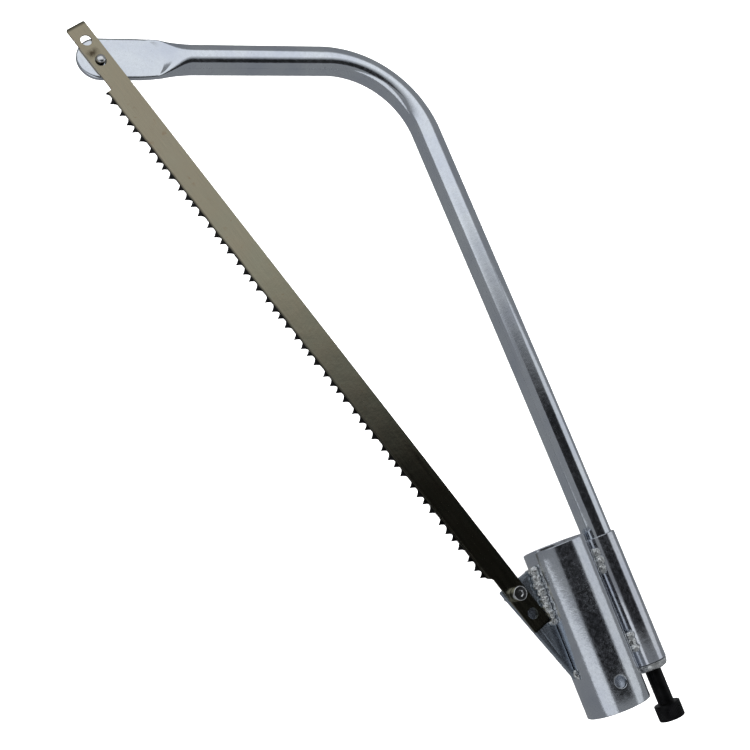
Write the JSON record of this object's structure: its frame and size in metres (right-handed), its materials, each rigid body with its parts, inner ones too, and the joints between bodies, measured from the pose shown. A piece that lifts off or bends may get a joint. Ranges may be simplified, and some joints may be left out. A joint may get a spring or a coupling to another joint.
{
  "type": "bow saw head",
  "caption": "Pole-mounted pruning bow saw head: a bent zinc-plated tube stretches a thin coarse-toothed blade from a welded pole socket, tensioned by a cap screw in a guide sleeve.",
  "frame": {"origin": "centre of the bounding box's footprint, at the lowest point of the pole socket when the saw lies with its blade side up", "axes": "+Y along the pole axis from the socket's mouth to the saw's tip, +X from the pole socket to the guide sleeve, +Z out of the blade side; the axes of socket, sleeve and bow tube lie in one plane at z = 15.9 mm"},
  "size_m": [0.1744, 0.4066, 0.0318],
  "materials": {
    "zinc_tube": "bright zinc plate on drawn steel tube",
    "zinc_plate": "zinc plate on cut steel, slightly dull",
    "blade_steel": "hardened and tempered strip, smooth, olive grey, dark hardened teeth",
    "fastener": "bright zinc plate",
    "black_screw": "black oxide",
    "weld_metal": "weld bead under zinc plate"
  },
  "bodies": {
    "socket_body": {"pole_socket": "zinc_tube", "guide_sleeve": "zinc_tube", "sleeve_nut": "zinc_plate", "sleeve_end_weld": "weld_metal", "saw_blade": "blade_steel", "gusset_plate": "zinc_plate", "blade_screw": "fastener", "blade_nut": "fastener", "sleeve_tack_front_upper": "weld_metal", "sleeve_tack_front_lower": "weld_metal", "sleeve_tack_back_upper": "weld_metal", "sleeve_tack_back_lower": "weld_metal", "gusset_weld_front": "weld_metal", "gusset_weld_back": "weld_metal", "gusset_tip_weld": "weld_metal"},
    "bow_frame": {"bow_tube": "zinc_tube", "thrust_plug": "zinc_plate", "blade_pin": "fastener"},
    "screw_body": {"tension_screw": "black_screw"}
  },
  "joints": [
    {"name": "frame_slide", "type": "slide", "parent": "socket_body", "child": "bow_frame", "axis": [-0.007, 1, 0], "range_m": [-0.0007, 0]},
    {"name": "screw_turn", "type": "hinge", "parent": "bow_frame", "child": "screw_body", "pos_m": [0.07852, -0.16491, 0.0159], "axis": [-0.007, 1, 0], "range_deg": [-202, 0]}
  ],
  "couplings": [
    {"joint": "screw_turn", "follows": "frame_slide", "rad_per_m": 5026.5}
  ]
}
